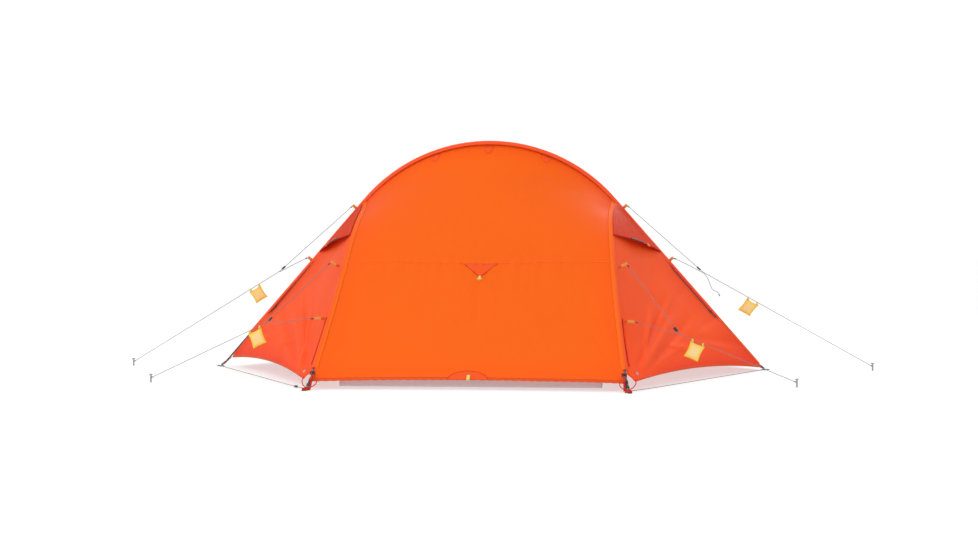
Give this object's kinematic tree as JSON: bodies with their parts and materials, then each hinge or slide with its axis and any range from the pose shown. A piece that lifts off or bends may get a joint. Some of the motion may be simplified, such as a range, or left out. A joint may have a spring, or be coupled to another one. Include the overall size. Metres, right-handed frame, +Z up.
{
  "type": "ridge pole trekking tent",
  "caption": "Low double-wall trekking tent with a ridge pole, hoop poles, zipped vestibules, vent hoods, Y guylines and an inner tent.",
  "frame": {"origin": "on the ground under the middle of the ridge pole", "axes": "+X along the ridge pole, +Z up, -Y towards the end panel that is seen from the front"},
  "size_m": [3.77, 2.4766, 1.15],
  "materials": {
    "pole_alloy": "anodised",
    "black_fittings": "moulded",
    "sleeve_fabric": "woven nylon",
    "fly_fabric": "coated ripstop nylon",
    "zip_tape": "woven tape",
    "patch_fabric": "coated nylon",
    "webbing": "woven webbing",
    "guyline_cord": "braided cord",
    "pouch_fabric": "thin coated nylon",
    "peg_alloy": "satin",
    "floor_fabric": "coated nylon",
    "inner_fabric": "breathable nylon"
  },
  "bodies": {
    "tent": {"ridge_pole": "pole_alloy", "hoop_pole_left": "pole_alloy", "hoop_pole_right": "pole_alloy", "pole_ferrules": "pole_alloy", "pole_tips": "black_fittings", "ridge_sleeve": "sleeve_fabric", "hoop_sleeve_left": "sleeve_fabric", "hoop_sleeve_right": "sleeve_fabric", "front_panel_upper": "fly_fabric", "front_panel_lower": "fly_fabric", "rear_panel_upper": "fly_fabric", "rear_panel_lower": "fly_fabric", "side_panel_fl": "fly_fabric", "side_panel_fr": "fly_fabric", "side_panel_rl": "fly_fabric", "side_panel_rr": "fly_fabric", "vent_hood_fl": "fly_fabric", "vent_hood_fr": "fly_fabric", "vent_hood_rl": "fly_fabric", "vent_hood_rr": "fly_fabric", "hood_stays": "black_fittings", "zip_tapes": "zip_tape", "zip_chains": "black_fittings", "reinforcement_patches": "patch_fabric", "webbing_tabs": "webbing", "ground_plates": "black_fittings", "foot_buckles": "black_fittings", "foot_straps": "webbing", "guy_side_left": "guyline_cord", "guy_side_left_branch": "guyline_cord", "guy_side_right": "guyline_cord", "guy_side_right_branch": "guyline_cord", "guy_front_left": "guyline_cord", "guy_front_left_branch": "guyline_cord", "guy_front_right": "guyline_cord", "guy_front_right_branch": "guyline_cord", "base_cord_left": "guyline_cord", "base_cord_right": "guyline_cord", "base_tensioner": "black_fittings", "guyline_pouches": "pouch_fabric", "ground_pegs": "peg_alloy", "inner_floor": "floor_fabric", "inner_canopy": "inner_fabric", "inner_walls": "inner_fabric", "inner_hangers": "black_fittings"},
    "door_fl": {"door_fl": "fly_fabric"},
    "zip_slider_fl": {"zip_slider_fl": "black_fittings"},
    "door_fr": {"door_fr": "fly_fabric"},
    "zip_slider_fr": {"zip_slider_fr": "black_fittings"},
    "door_rl": {"door_rl": "fly_fabric"},
    "zip_slider_rl": {"zip_slider_rl": "black_fittings"},
    "door_rr": {"door_rr": "fly_fabric"},
    "zip_slider_rr": {"zip_slider_rr": "black_fittings"},
    "tensioner_side_left": {"tensioner_side_left": "black_fittings"},
    "tensioner_side_right": {"tensioner_side_right": "black_fittings"},
    "tensioner_front_left": {"tensioner_front_left": "black_fittings"},
    "tensioner_front_right": {"tensioner_front_right": "black_fittings"},
    "inner_door_left": {"inner_door_left": "inner_fabric"},
    "inner_door_right": {"inner_door_right": "inner_fabric"}
  },
  "joints": [
    {"name": "door_fl_swing", "type": "hinge", "parent": "tent", "child": "door_fl", "pos_m": [-0.785, -0.5855, 0.31386], "axis": [-0.117, 0.8944, 0.4318], "range_deg": [0, 36]},
    {"name": "zip_fl_slide", "type": "slide", "parent": "tent", "child": "zip_slider_fl", "axis": [-0.643, 0, -0.7658], "range_m": [-0.26, 0.29]},
    {"name": "door_fr_swing", "type": "hinge", "parent": "tent", "child": "door_fr", "pos_m": [0.785, -0.5855, 0.31386], "axis": [-0.117, -0.8944, -0.4318], "range_deg": [0, 36]},
    {"name": "zip_fr_slide", "type": "slide", "parent": "tent", "child": "zip_slider_fr", "axis": [0.6585, 0, -0.7526], "range_m": [-0.26, 0.29]},
    {"name": "door_rl_swing", "type": "hinge", "parent": "tent", "child": "door_rl", "pos_m": [-0.785, 0.5855, 0.31386], "axis": [0.117, 0.8944, -0.4318], "range_deg": [0, 36]},
    {"name": "zip_rl_slide", "type": "slide", "parent": "tent", "child": "zip_slider_rl", "axis": [-0.643, 0, -0.7658], "range_m": [-0.26, 0.29]},
    {"name": "door_rr_swing", "type": "hinge", "parent": "tent", "child": "door_rr", "pos_m": [0.785, 0.5855, 0.31386], "axis": [0.117, -0.8944, 0.4318], "range_deg": [0, 36]},
    {"name": "zip_rr_slide", "type": "slide", "parent": "tent", "child": "zip_slider_rr", "axis": [0.6585, 0, -0.7526], "range_m": [-0.26, 0.29]},
    {"name": "tensioner_side_left_slide", "type": "slide", "parent": "tent", "child": "tensioner_side_left", "axis": [0.7497, 0, 0.6618], "range_m": [0, 0.12]},
    {"name": "tensioner_side_right_slide", "type": "slide", "parent": "tent", "child": "tensioner_side_right", "axis": [-0.7497, 0, 0.6618], "range_m": [0, 0.12]},
    {"name": "tensioner_front_left_slide", "type": "slide", "parent": "tent", "child": "tensioner_front_left", "axis": [0.6563, 0.3636, 0.6611], "range_m": [0, 0.12]},
    {"name": "tensioner_front_right_slide", "type": "slide", "parent": "tent", "child": "tensioner_front_right", "axis": [-0.5339, 0.4632, 0.7074], "range_m": [0, 0.12]},
    {"name": "inner_door_left_drop", "type": "hinge", "parent": "tent", "child": "inner_door_left", "pos_m": [-0.5885, 0, 0.0845], "axis": [0, -1, 0], "range_deg": [0, 80]},
    {"name": "inner_door_right_drop", "type": "hinge", "parent": "tent", "child": "inner_door_right", "pos_m": [0.5885, 0, 0.0845], "axis": [0, 1, 0], "range_deg": [0, 80]}
  ]
}
